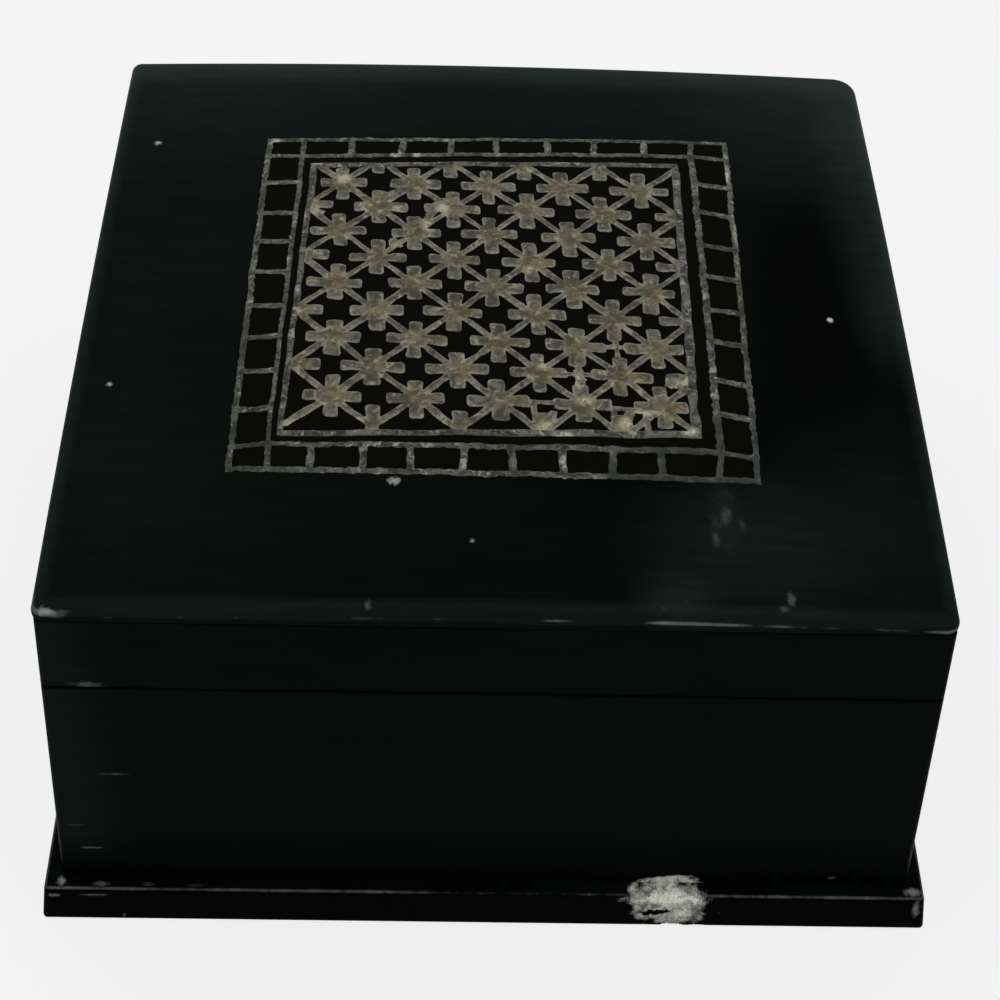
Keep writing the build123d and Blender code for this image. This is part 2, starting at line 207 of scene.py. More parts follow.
# the bruise: an uneven hollow broken out of the front arris
wider = ease(2.4, 0.5, np.abs(board_z - board_top + 0.5)) * ease(2.5, 0.8, board_in)
across = (board_x - bruise_middle - 0.18 * (board_top - board_z)) / (bruise_width + wider)
down = (board_z - (board_top - 3.6)) / bruise_height
inward = (board_y + board_out) / 5.0
reach = np.sqrt(across**2 + np.maximum(down, 0) ** 2 * 0.3 + np.minimum(down, 0) ** 2 + inward**2)
along_slope = board_z + 0.7 * board_y
reach += 0.16 * ripple(board_x, along_slope, 2.6, 5) + 0.1 * ripple(board_x, along_slope, 0.9, 6)
# the bruise is weaker towards its foot, so the painted highlight on its pale ground lies in its upper
# part
bruise = (board_y < -board_half + 6) * ease(1.2, 0.35, reach) * (1 - 0.2 * ease(6.6, 5.0, board_z))
crumble = np.random.default_rng(11).uniform(0.2, 1, board_x.shape)
hollow = ease(0.1, 0.5, bruise) * (0.12 + 0.34 * crumble)
hollow *= ease(-foot_half - 0.1, -foot_half - 0.9, board_y)
board_y = board_y + hollow * ease(board_top + 0.2, board_top - 0.6, board_z)
board_z = board_z - hollow * ease(board_top - 1.4, board_top - 0.2, board_z)
middles = [[0, 0, 0], [0, 0, board_top]]
base_board = wrapped_piece("base_board", board_x, board_y, board_z, middles)

# wear on the top arris, strongest in front, but not just to the left of the bruise
arris = ease(0.54, 0.10, np.hypot(board_in - 0.2, board_up - board_top + 0.2))
front_line = ease(-4, -20, board_x) + 0.5 * ease(12, 22, board_x) + 0.5 * ease(34, 39, board_x)
board_wear = 0.40 + 0.24 * front_line * ease(-45, -70, board_y)
board_wear = arris * np.clip(board_wear + 0.10 * ripple(board_x, board_y, 9, 21), 0, 1)
# a faint painted sheen on the board's top face, as if lit there, uneven along it
board_haze = ease(board_top - 0.5, board_top, board_z) * (1.2 + ripple(board_x, board_y, 24, 22))

# a crack slants through the middle of the bruise, painted black as lacquer there: painted shade, as the
# crack is not cut into the mesh
from_crack = board_x - 28.9
crack = np.hypot(from_crack / 2.4, (board_z - 3.5 - 0.14 * from_crack) / 0.62)
bruise *= ease(0.7, 1.3, crack + 0.3 * ripple(board_x, board_z, 1.1, 7))
paint(base_board, wear=board_wear, haze=0.05 * board_haze, chip=bruise)


class Nodes:
    """The shader nodes of a material, or of the sky.

    Each call makes a node, and links or sets its inputs.
    """

    def __init__(self, name, kind="materials", shader="Principled BSDF"):
        self.material = getattr(bpy.data, kind).new(name)
        self.material.use_nodes = True
        self.tree = self.material.node_tree
        self.shader = self.tree.nodes[shader]
        self.place = self.add("ShaderNodeTexCoord").outputs["Object"]

    def add(self, kind, inputs=(), **settings):
        node = self.tree.nodes.new(kind)
        for key, value in settings.items():
            setattr(node, key, value)
        for key, value in dict(inputs).items():
            self.feed(node.inputs[key], value)
        return node

    def feed(self, socket, value):
        """Links a socket to an output, or sets its number or its three numbers of colour."""
        if isinstance(value, bpy.types.NodeSocket):
            self.tree.links.new(value, socket)
        else:
            socket.default_value = (*value, 1) if socket.type == "RGBA" else value

    def set(self, **inputs):
        for key, value in inputs.items():
            self.feed(self.shader.inputs[key.replace("_", " ")], value)

    def field(self, name):
        """A number painted on the mesh."""
        return self.add("ShaderNodeAttribute", attribute_name=name).outputs["Fac"]

    def stretched(self, scale):
        """Object coordinates scaled, so that a pattern runs along one direction."""
        return self.add("ShaderNodeMapping", {"Vector": self.place, "Scale": scale}).outputs[0]

    def noise(self, scale, detail=4, rough=0.55, where=None, warp=0.0):
        """Cloudy pattern between 0 and 1, with so many patches to the metre."""
        inputs = {
            "Vector": where or self.place, "Scale": scale, "Detail": detail,
            "Roughness": rough, "Distortion": warp,
        }
        return self.add("ShaderNodeTexNoise", inputs).outputs["Fac"]

    def step(self, value, low, high, to_low=0.0, to_high=1.0):
        """A smooth step of value from low to high."""
        inputs = {"Value": value, "From Min": low, "From Max": high, "To Min": to_low, "To Max": to_high}
        return self.add("ShaderNodeMapRange", inputs, interpolation_type="SMOOTHSTEP").outputs[0]

    def math(self, operation, first, second):
        return self.add("ShaderNodeMath", {0: first, 1: second}, operation=operation).outputs[0]

    def vector(self, operation, *inputs):
        return self.add("ShaderNodeVectorMath", dict(enumerate(inputs)), operation=operation).outputs

    def times(self, first, second):
        return self.math("MULTIPLY", first, second)

    def plus(self, first, second):
        return self.math("ADD", first, second)

    def higher(self, first, second):
        return self.math("MAXIMUM", first, second)

    def mix(self, share, first, second):
        """The second colour over the first, where share is 1."""
        colours = {0: share, 6: first, 7: second}
        return self.add("ShaderNodeMix", colours, data_type="RGBA").outputs[2]

    def bump(self, height, distance, below=None):
        """Surface relief of so many metres."""
        inputs = {"Height": height, "Distance": distance}
        if below is not None:
            inputs["Normal"] = below
        return self.add("ShaderNodeBump", inputs).outputs[0]

    def marks(self, marks, ragged):
        """Strength inside small egg-shaped marks, each given as centre, radii in mm and strength."""
        found = 0.0
        for centre, radii, strength in marks:
            away = self.vector("SUBTRACT", self.place, [c / 1000 for c in centre])["Vector"]
            scaled = self.vector("MULTIPLY", away, [1000 / r for r in radii])["Vector"]
            reach = self.vector("LENGTH", scaled)["Value"]
            reach = self.plus(reach, self.times(ragged, 2.6))
            found = self.higher(self.step(reach, 2.7, 1.5, 0, strength), found)
        return found

    def seen_straight(self):
        """One for what the camera sees, also in a gloss or through glass, and nought for light."""
        path = self.add("ShaderNodeLightPath").outputs
        seen = self.higher(path["Is Camera Ray"], path["Is Glossy Ray"])
        return self.higher(seen, path["Is Transmission Ray"])


def black_lacquer(name, marks=(), streak=(14, 14, 160), even_sheen=0.0, deep=(0.0002, 0.0005, 0.0004)):
    """Old black lacquer: hazy patches, faint polishing streaks, pale wear, and chalky chips.

    Haze with painted sheen, smear, wear with painted highlight, and chip with painted light are
    painted on the mesh; marks are single specks and scratches, and on the lid one painted highlight.
    A constant argument lays even haze and painted sheen over the whole piece.
    """
    coat = Nodes(name)
    cloudy = [tint + 0.0006 for tint in deep]
    patches = coat.step(coat.noise(28, 5, 0.6, warp=0.4), 0.35, 0.75)
    streaks = coat.noise(9, 3, 0.6, coat.stretched(streak))
    colour = coat.mix(coat.times(patches, 0.75), deep, cloudy)
    colour = coat.mix(coat.step(streaks, 0.5, 0.8, 0, 0.5), colour, cloudy)
    # haze and painted sheen: a grey-green laid over the black from the painted field and the even
    # constant, broken up by the streaks
    haze = coat.plus(coat.field("haze"), even_sheen)
    haze = coat.times(haze, coat.step(streaks, 0.2, 0.8, 0.8, 1.15))
    colour = coat.mix(haze, colour, (0.019, 0.029, 0.0245))
    scuffs = coat.noise(420, 5, 0.7, warp=1.0)
    wisps = coat.step(coat.noise(150, 6, 0.7, warp=1.5), 0.46, 0.72, 0.12, 1)
    colour = coat.mix(coat.times(coat.field("smear"), wisps), colour, (0.030, 0.037, 0.038))
    # pale wear, plus scuffs; on the lid's round-over and front left corner this same pale colour is a
    # painted highlight
    worn = coat.step(coat.plus(coat.field("wear"), coat.times(scuffs, 0.6)), 0.62, 1.15)
    colour = coat.mix(worn, colour, (0.085, 0.088, 0.080))
    fibres = coat.noise(640, 5, 0.65, warp=1.0)
    lumps = coat.noise(330, 4, 0.6, warp=0.6)
    chip = coat.field("chip")
    plaster = coat.mix(coat.step(lumps, 0.36, 0.62), (0.17, 0.175, 0.15), (0.44, 0.45, 0.39))
    plaster = coat.mix(coat.step(fibres, 0.47, 0.62, 0, 0.75), plaster, (0.70, 0.72, 0.62))
    plaster = coat.mix(coat.step(fibres, 0.42, 0.34, 0, 0.75), plaster, (0.06, 0.062, 0.052))
    # the chip field also paints light on the pale ground: a near-white painted highlight where it is
    # strongest, and painted shade where it is weak, towards the fringe
    plaster = coat.mix(coat.step(chip, 0.86, 0.98, 0, 0.75), plaster, (0.88, 0.90, 0.78))
    plaster = coat.mix(coat.step(chip, 0.78, 0.28, 0, 0.85), plaster, (0.095, 0.098, 0.088))
    chipped = coat.step(coat.plus(chip, coat.times(fibres, 0.6)), 0.52, 0.74)
    colour = coat.mix(chipped, colour, plaster)
    if marks:
        colour = coat.mix(coat.marks(marks, fibres), colour, (0.42, 0.43, 0.40))
    rough = coat.higher(coat.step(patches, 0, 1, 0.34, 0.5), coat.times(chipped, 0.9))
    rough = coat.higher(rough, coat.times(worn, 0.6))
    skin = coat.bump(coat.noise(160, 3, 0.5), 0.00004)
    skin = coat.bump(coat.times(chipped, fibres), 0.0004, skin)
    coat.set(Base_Color=colour, Roughness=rough, Normal=skin, Specular_IOR_Level=0.006)
    return coat.material


board_marks = [
    ((-61.8, -board_half, 1.4), (0.4, 1, 0.4), 0.35),
    ((-73.1, -board_half, 6.4), (0.9, 1, 0.35), 0.25),
    ((-66.5, -board_half, 6.6), (2.0, 1, 0.3), 0.15),
    ((-72.1, -73.5, board_top), (0.7, 0.8, 0.6), 0.4),
    ((-65.4, -73.9, board_top), (1.1, 0.4, 0.5), 0.16),
    ((-57.4, -73.9, board_top), (1.2, 0.4, 0.5), 0.07),
    ((-49.6, -74.0, board_top), (1.5, 0.3, 0.5), 0.04),
    ((73.0, -73.6, board_top), (1.3, 0.8, 0.6), 0.35),
    ((73.8, -board_half, 5.4), (0.6, 1, 1.9), 0.3),
]
base_board.data.materials.append(black_lacquer("lacquer_board", board_marks))
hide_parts("plinth_board")
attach(base_board, "box")

# Base brads: eight cut steel brads punched in from below, two up into the foot of each wall.
# Bare steel that has dulled and begun to rust.


def finish_node(name, material):
    """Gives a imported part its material."""
    slots = frame["nodes"][name].data.materials
    slots.clear()
    slots.append(material)


steel = Nodes("brad_steel")
rust = steel.step(steel.noise(700, 5, 0.7), 0.45, 0.7)
steel.set(
    Base_Color=steel.mix(rust, (0.33, 0.33, 0.32), (0.10, 0.045, 0.02)),
    Metallic=0.85,
    Roughness=steel.step(rust, 0, 1, 0.4, 0.8),
    Normal=steel.bump(steel.noise(900, 4), 0.00006),
)
finish_node("base_brads", steel.material)

# Walls: four boards mitred at the corners and leaning outwards on their way down, lacquered
# inside and out. The back one, with its hinge mortises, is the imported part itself.
wall_thickness = 6.5
wall_corner = 1.0
foot_edge, seam_edge = 0.1, 0.3
hinge_pin = frame["joints"][0]["pos_m"][1] * 1000
stop_slope = tan(radians(50))


def half_at(height):
    """Half the outer width of walls and rails at a height."""
    return seam_half + (seam - height) * lean


def mitred_board(name, side, bottom, top, low_edge, high_edge, seed):
    """One mitred board: a closed outline of inset and height, carried along one side of the box.

    The face waves by a few hundredths of a millimetre, as a hand-rubbed one does, and the back
    arris at the seam is planed off at the hinge's stopping angle.
    """
    quarter = np.linspace(0, pi / 2, 5)
    low_face = np.linspace(bottom + low_edge, bottom + low_edge + 4, 17)[1:]
    high_face = np.linspace(top - high_edge - 1, top - high_edge, 7)[:-1]
    face = np.concatenate([low_face, np.linspace(low_face[-1], high_face[0], 24)[1:-1], high_face])
    inner_rows = 10
    inset = np.concatenate([
        low_edge * (1 - np.sin(quarter)),
        np.zeros(len(face)),
        high_edge * (1 - np.cos(quarter)),
        [2, 4.5],
        np.full(inner_rows, wall_thickness),
        [4.5, 2],
    ])
    height = np.concatenate([
        bottom + low_edge * (1 - np.cos(quarter)),
        face,
        top - high_edge * (1 - np.sin(quarter)),
        [top, top],
        np.linspace(top, bottom, inner_rows),
        [bottom, bottom],
    ])
    slide, turn = side_path(np.linspace(-1, 1, 150))
    slide, turn = slide[:, None], turn[:, None]
    outside = (inset < 1) + 0 * slide
    wave = 0.07 * ripple(slide * 70, height, 45, seed) * ease(1, 0.9, np.abs(slide)) * outside
    radius = np.maximum(wall_corner - inset, least_radius)
    x, y = side_points(side, half_at(height) - inset + wave, radius, slide, turn)
    past_pin = np.maximum(y - hinge_pin, 0) * stop_slope
    z = np.minimum(height, top - past_pin) if top == seam else np.maximum(height, bottom + past_pin)
    ends = [[x[k].mean(), y[k].mean(), z[k].mean()] for k in (0, -1)]
    piece = wrapped_piece(name, x, y, z, ends, order=-1)
    at_seam = top - seam_edge if top == seam else bottom + seam_edge
    near_seam = ease(1.0, 0.1, np.abs(z - at_seam)) * outside
    upright = ease(0.1, 0.5, np.abs(turn)) * outside
    worn = near_seam * (0.06 + 0.2 * ripple(x, y, 16, seed + 1))
    worn += upright * (0.12 + 0.25 * ripple(x, z, 12, seed + 2))
    # haze and painted reflection: even inside; outside, darker towards the foot and lighter on the side
    # boards than on the front; all of it fades out near the seam and the top edge
    haze = 0.09 * (1 - outside) + outside * (0.02 + 0.06 * ease(foot + 4, foot + 16, z))
    haze += outside * (side > 0) * 0.04
    bruised = 0 * x
    if side == 0:
        # painted reflection: the front board is lighter towards its left end
        haze += outside * ease(-56, -70, x) * ease(foot + 2, foot + 14, z) * 0.12
        bruise_reach = bruise_width - 0.9 - 0.9 * np.clip(z - foot, 0, 3)
        bruise_top = 2.25 + 0.04 * np.clip(x - bruise_middle, -8, 5)
        reach = np.hypot((x - bruise_middle - 0.8) / bruise_reach, (z - foot) / bruise_top)
        bruised = outside * 0.8 * ease(1.25, 0.5, reach + 0.16 * ripple(x, z, 2.2, seed + 3))
    haze *= ease(0.25, 0.6, np.minimum(np.abs(z - seam), top - z))
    paint(piece, wear=worn, haze=haze, chip=bruised)
    return piece


wall_marks = [
    ((-61.5, -71.4, 35.6), (2.4, 1, 0.25), 0.09),
    ((-68.5, -71.9, 22.0), (1.4, 1, 0.3), 0.04),
    ((-66.0, -72.2, 15.9), (1.7, 1, 0.25), 0.15),
    ((59.2, -72.5, 10.0), (0.8, 1, 0.4), 0.12),
]
wall_lacquer = black_lacquer("lacquer_walls", wall_marks, streak=(9, 9, 190))
for side, node in enumerate(["front_wall", "right_wall", "back_wall", "left_wall"]):
    if node == "back_wall":
        # the back board has no painted field, so an even painted sheen stands in for it
        finish_node(node, black_lacquer("lacquer_back", streak=(9, 9, 190), even_sheen=0.09))
        continue
    board_name = node.replace("_", "_board_")
    wall = mitred_board(board_name, side, foot, seam, foot_edge, seam_edge, 30 + side)
    wall.data.materials.append(wall_lacquer)
    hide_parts(node)
    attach(wall, "box")

# Floor lining: a square of thin dark red felt on card, laid loose on the base board inside the
# walls, its cut edges a little fuzzy.


def felt(name):
    """Short matted wool: a deep red with darker hollows and a soft sheen."""
    wool = Nodes(name)
    fibres = wool.noise(2600, 5, 0.7, warp=0.8)
    cloud = wool.noise(60, 4)
    colour = wool.mix(wool.step(fibres, 0.3, 0.7), (0.030, 0.003, 0.004), (0.120, 0.013, 0.016))
    colour = wool.mix(wool.step(cloud, 0.45, 0.8, 0, 0.5), colour, (0.150, 0.028, 0.026))
    wool.set(
        Base_Color=colour,
        Roughness=0.95,
        Normal=wool.bump(fibres, 0.0003, wool.bump(cloud, 0.0004)),
        Sheen_Weight=0.25,
        Specular_IOR_Level=0.1,
    )
    return wool.material


def felt_square(name, node, wave_seed):
    """A square sheet: its top waves gently, its edge is round, and its underside is flat."""
    low, high = node_box(node)
    half, thick = high[0], high[2] - low[2]
    edge = np.linspace(-pi / 2, pi / 2, 7)
    under, over = [30, 8, 2], np.linspace(1.2, half - 2, 26)
    inset = np.concatenate([under, thick / 2 * (1 - np.cos(edge)), over])[:, None]
    rounded = low[2] + thick / 2 * (1 + np.sin(edge))
    height = np.concatenate([np.full(len(under), low[2]), rounded, np.full(len(over), high[2])])[:, None]
    slide, turn = side_path(np.linspace(-1, 1, 90), 3)
    x, y = ring_points(half - inset, np.maximum(0.8 - inset, least_radius), slide, turn)
    upper = ease(low[2] + 0.5 * thick, high[2], height)
    z = height + upper * (0.12 * ripple(x, y, 30, wave_seed) - 0.12)
    return wrapped_piece(name, x, y, z, [[0, 0, low[2]], [0, 0, z[-1].mean()]])


floor_felt = felt_square("floor_felt", "floor_lining", 51)
floor_felt.data.materials.append(felt("felt_floor"))
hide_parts("floor_lining")
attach(floor_felt, "box")

# Hinges: two small brass butt hinges let into the back edges of box and lid. Each has a box
# leaf, a lid leaf, a pin through their knuckles and two countersunk screws in each leaf.


def brass(name, bright, dull, stretch):
    """Aged brass: dull brown tarnish over a yellow metal, rubbed brighter in streaks."""
    metal = Nodes(name)
    tarnish = metal.noise(260, 5, 0.65, warp=0.8)
    rubbed = metal.noise(30, 3, 0.6, metal.stretched(stretch))
    share = metal.step(metal.plus(tarnish, metal.times(rubbed, 0.5)), 0.55, 1.0)
    metal.set(
        Base_Color=metal.mix(share, dull, bright),
        Metallic=1.0,
        Roughness=metal.step(share, 0, 1, 0.55, 0.28),
        Normal=metal.bump(rubbed, 0.00003),
    )
    return metal.material


leaf_brass = brass("leaf_brass", (0.62, 0.46, 0.20), (0.24, 0.16, 0.07), (1, 30, 30))
screw_brass = brass("screw_brass", (0.70, 0.54, 0.26), (0.20, 0.13, 0.06), (30, 30, 1))
for hand in ("left", "right"):
    for part in ("hinge_box_leaf", "hinge_lid_leaf", "hinge_pin"):
        finish_node(f"{hand}_{part}", leaf_brass)
for part in ("box_leaf_screws", "lid_leaf_screws"):
    finish_node(part, screw_brass)

# Lid rails: the same mitred frame above the saw cut, so the grain and the lean run on. The back
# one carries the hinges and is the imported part.
joint = node_box("lid_front_rail")[1][2]
rail_marks = [((-62.9, -70.6, 57.3), (2.4, 1, 0.8), 0.12)]
rail_lacquer = black_lacquer("lacquer_rails", rail_marks, streak=(9, 9, 190))
for side, node in enumerate(["lid_front_rail", "lid_right_rail", "lid_back_rail", "lid_left_rail"]):
    if node == "lid_back_rail":
        # the back rail has no painted field, so an even painted sheen stands in for it
        finish_node(node, black_lacquer("lacquer_back_rail", streak=(9, 9, 190), even_sheen=0.09))
        continue
    board_name = node.replace("rail", "board")
    rail = mitred_board(board_name, side, seam, joint, seam_edge, seam_edge, 40 + side)
    rail.data.materials.append(rail_lacquer)
    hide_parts(node)
    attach(rail, "lid")

# Lid panel: a thin board shaped to a slight dome and rounded over all round, with a shallow
# place cut in the middle for the inlay. Its front edge has rubbed pale, and its round-over and
# front left corner carry a painted highlight.
panel_half = node_box("lid_panel")[1][0]
inlay_proud = 0.3
crown_top = node_box("star_lattice")[1][2] - inlay_proud
crown_rise = 2.7
crown_radius = (2 * panel_half**2 + crown_rise**2) / (2 * crown_rise)
panel_edge = 2.0
panel_arris = 0.3
corner_radii = [2.0, 2.4, 4.5, 2.0]  # front left, front right, back right, back left
ground_thickness = 0.5

# the pattern: how far back its middle is, and half the size of its frame and ladder each way
pattern_middle = 1.8
frame_half = 33.5, 35.3
border_gap, ladder_side, ladder_end = 2.8, 6.3, 5.0
inner_half = frame_half[0] + border_gap, frame_half[1] + border_gap
outer_half = inner_half[0] + ladder_side, inner_half[1] + ladder_end


def dome(x, y):
    """Height of the lid's dome: a sphere whose top is in the lid's middle."""
    return crown_top - crown_radius + np.sqrt(crown_radius**2 - x**2 - y**2)


# how far hand work has shifted each corner of the inner frame, the ladder's inner line and its
# outer line, as back left, back right, front left and front right
corner_shift_x = np.array([[0.4, -0.7, -1.5, -1.7], [1.0, -0.2, -0.3, -0.5], [1.1, 0.0, 0.1, -1.4]])
corner_shift_y = np.array([[-1.4, 0.8, -0.3, 1.2], [-1.5, 1.2, 0.3, 0.1], [-1.6, 0.3, -0.4, -1.3]])
shift_rings = [0, border_gap, border_gap + ladder_side]


def hand_laid(u, v):
    """Where a point of the true pattern really lies: shifted with the corners, and a little wavy.

    The four corners' shifts are shared out by the product of the distances along both sides.
    """
    ring = np.maximum(np.abs(u) - frame_half[0], np.abs(v) - frame_half[1])
    a = np.clip(u / (frame_half[0] + np.maximum(ring, 0)), -1, 1)
    b = np.clip(v / (frame_half[1] + np.maximum(ring, 0)), -1, 1)
    x = u + 0.14 * ripple(u, v, 11, 61)
    y = v + 0.14 * ripple(u, v, 11, 62) + pattern_middle
    for k, (to_right, to_back) in enumerate([(-1, 1), (1, 1), (-1, -1), (1, -1)]):
        share = (1 + to_right * a) * (1 + to_back * b) / 4
        x += share * np.interp(ring, shift_rings, corner_shift_x[:, k])
        y += share * np.interp(ring, shift_rings, corner_shift_y[:, k])
    return x, y


slide, turn = side_path(np.linspace(-1, 1, 190))
arc = np.linspace(0, pi / 2, 12)
under, upright = [40, 15, 5, 1], [0.25, 0.5, 0.75]
edge_in = np.concatenate([
    under,
    panel_arris * (1 - np.sin(arc[::3])),
    np.zeros(len(upright)),
    panel_edge * (1 - np.cos(arc)),
])[:, None]
panel_sides = []
for side in range(4):
    first, last = corner_radii[side], corner_radii[(side + 1) % 4]
    radius = np.maximum(first + (last - first) * (slide + 1) / 2 - edge_in, least_radius)
    x, y = side_points(side, panel_half - edge_in, radius, slide, turn)
    panel_sides.append((x[:, :-1], y[:, :-1]))
panel_x, panel_y = (np.concatenate(parts, axis=1) for parts in zip(*panel_sides))
shoulder = dome(panel_x[-1], panel_y[-1]) - panel_edge
panel_z = np.stack(
    [joint + 0 * shoulder for _ in under]
    + [joint + panel_arris * (1 - np.cos(a)) + 0 * shoulder for a in arc[::3]]
    + [joint + panel_arris + (shoulder - joint - panel_arris) * share for share in upright]
    + [shoulder + panel_edge * np.sin(a) for a in arc]
)

# the dome runs from the round-over to the edge of the place cut for the inlay
outline_u, outline_v = ring_points(np.array([[1.0]]), np.array([[0.0001]]), slide, turn)
pocket_x, pocket_y = hand_laid(outline_u * outer_half[0], outline_v * outer_half[1])
inward = np.linspace(0, 1, 30)[1:, None]
crown_x = panel_x[-1] + (pocket_x - panel_x[-1]) * inward
crown_y = panel_y[-1] + (pocket_y - panel_y[-1]) * inward
pocket_floor = dome(pocket_x, pocket_y) - ground_thickness
panel_x = np.concatenate([panel_x, crown_x, pocket_x])
panel_y = np.concatenate([panel_y, crown_y, pocket_y])
panel_z = np.concatenate([panel_z, dome(crown_x, crown_y), pocket_floor])
panel_z[len(edge_in):-2] += 0.03 * ripple(panel_x, panel_y, 40, 63)[len(edge_in):-2]
middles = [[0, 0, joint], [0, pattern_middle, crown_top - ground_thickness]]
lid_top = wrapped_piece("lid_top", panel_x, panel_y, panel_z, middles)


def patch(x, y, middle, size, soft):
    """One inside an ellipse round middle, fading out over the soft outer share of it."""
    reach = np.hypot((x - middle[0]) / size[0], (y - middle[1]) / size[1])
    return ease(1, 1 - soft, reach)


# pale wear and painted highlight: a thin worn line low on the round-over in front, a painted highlight
# as a film over the round-over, and a painted highlight on the front left corner
x, y = panel_x, panel_y
from_edge = panel_half - np.maximum(np.abs(x), np.abs(y))
round_over = ease(joint + 0.6, joint + 2.0, panel_z) * ease(3.0, 1.2, from_edge)
above_shoulder = panel_z - shoulder
low_line = ease(0.6, 0.15, np.abs(above_shoulder - 0.15)) * ease(1.2, 0.5, from_edge)
low_line *= ease(-30, -55, y)
along_line = 0.28 * ease(18, 26, x) - 0.12 * ease(41, 46, x) * ease(66, 60, x)
along_line += 0.13 * ease(58, 67, x)
along_line += 0.30 * patch(x, y, (30, -70), (9, 9), 0.3) + 0.28 * patch(x, y, (10, -70), (4, 9), 0.5)
corner_gleam = ease(-59, -68, x) * ease(0.8, 0.3, np.abs(above_shoulder - 0.9)) * (y < -66)
top_wear = low_line * (0.18 + along_line + 0.20 * ripple(x, y, 4.5, 65))
top_wear += round_over * 0.10 * (1 + ripple(x, y, 22, 64)) + 0.55 * corner_gleam

# haze and painted reflection: the top is painted lighter at the back, towards the left and on the right,
# where a painted darker place breaks it half way along; haze lies in patches in front, and the
# round-over is painted lighter as a highlight
back_light = ease(20, 70, y) * 0.20 + ease(60, 70, y) * 0.70
right_light = ease(56, 69, x) * ease(-20, 0, y) * 0.315 + ease(20, 62, x) * ease(22, 62, y) * 0.21
dark_side = patch(x, y, (55, 0), (16, 36), 0.8) * ease(67, 60, x)
top_haze = 0.05 + ease(0, -60, x) * 0.08 + back_light * (1 - dark_side) + right_light
for middle, size, share in (
    ((38, -56), (24, 22), 0.26),
    ((60, -48), (26, 34), 0.10),
    ((27, -65), (10, 6), 0.20),
):
    top_haze += share * patch(x, y, middle, size, 1.0)
top_haze += round_over * 0.22 - 0.10 * dark_side + 0.03 * ripple(x, y, 60, 66)
smear = patch(x, y, (35.2, -50), (3.4, 9), 0.9) + patch(x, y, (26, -67.5), (8, 3.5), 0.9)
paint(lid_top, wear=top_wear, haze=top_haze, smear=smear)
top_marks = [
    ((-62.1, 42.6, 75.5), (0.6, 0.6, 0.6), 0.75),
    ((-63.4, -22.4, 75.9), (0.5, 0.5, 0.5), 0.65),
    ((56.9, -3.6, 76.2), (0.5, 0.5, 0.5), 1.0),
    ((-3.9, -56.1, 76.2), (0.45, 0.45, 0.6), 0.5),
    ((-19.6, -68.9, 75.7), (0.5, 0.9, 0.8), 0.14),
    # a painted highlight on the front left corner of the round-over
    ((-67.6, -69.8, 73.8), (1.5, 0.8, 0.5), 0.45),
    ((44.2, -66.4, 75.3), (0.6, 1.3, 0.8), 0.12),
    ((42.9, -68.0, 75.2), (0.7, 0.6, 0.8), 0.09),
    ((35.5, -49.6, 76.0), (0.8, 2.2, 0.8), 0.06),
    ((33.6, -54.8, 75.9), (0.6, 1.9, 0.8), 0.06),
    ((37.9, -51.4, 76.0), (0.5, 1.2, 0.8), 0.04),
    ((24.6, -70.0, 73.9), (1.6, 0.9, 0.4), 0.12),
    ((-16.3, -43.8, 76.4), (0.9, 0.8, 0.6), 0.7),
]
lid_top.data.materials.append(black_lacquer("lacquer_top", top_marks, streak=(10, 60, 10)))
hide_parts("lid_panel")
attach(lid_top, "lid")

# Inlay ground: the thin black sheet that fills the place cut in the lid panel and carries the
# pattern. It is a hair smaller than that place, and its edge lies under the ladder's outer line.
slack = 0.9995
outwards = np.linspace(0.03, 1, 24)[:, None] * slack
rings = np.concatenate([outwards, outwards[::-1]])
ground_low = ground_thickness - 0.02
sunk = np.repeat([ground_low, 0], len(outwards))[:, None]
x, y = pocket_x * rings, pocket_y * rings
middles = [[0, 0, crown_top - ground_low], [0, 0, crown_top]]
ground = wrapped_piece("pattern_ground", x, y, dome(x, y) - sunk, middles)
olive_black = (0.0018, 0.0020, 0.0007)
ground.data.materials.append(black_lacquer("lacquer_ground", streak=(40, 40, 40), deep=olive_black))
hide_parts("inlay_ground")
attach(ground, "lid")

# Star lattice: thin tarnished metal cut as eight-pointed stars on crossing diagonals, pressed
# into the ground by hand. No two stars are quite alike, and some have run together.
stars_across = 5
half_pitch = frame_half[0] / stars_across, frame_half[1] / stars_across
inlay_relief = 0.24
relief_step = 0.28


def bar(u, v, start, end, wide, narrow=None):
    """Distance inside a round-ended bar, whose half width goes from wide to narrow along it."""
    run = np.subtract(end, start)
    share = np.clip(((u - start[0]) * run[0] + (v - start[1]) * run[1]) / (run @ run), 0, 1)
    gap = np.hypot(u - start[0] - share * run[0], v - start[1] - share * run[1])
    return wide + (0 if narrow is None else narrow - wide) * share - gap


def block(u, v, half_u, half_v, rounding):
    """Distance inside a rectangle with rounded corners."""
    out_u, out_v = np.abs(u) - half_u + rounding, np.abs(v) - half_v + rounding
    outside = np.hypot(np.maximum(out_u, 0), np.maximum(out_v, 0))
    return rounding - outside - np.minimum(np.maximum(out_u, out_v), 0)


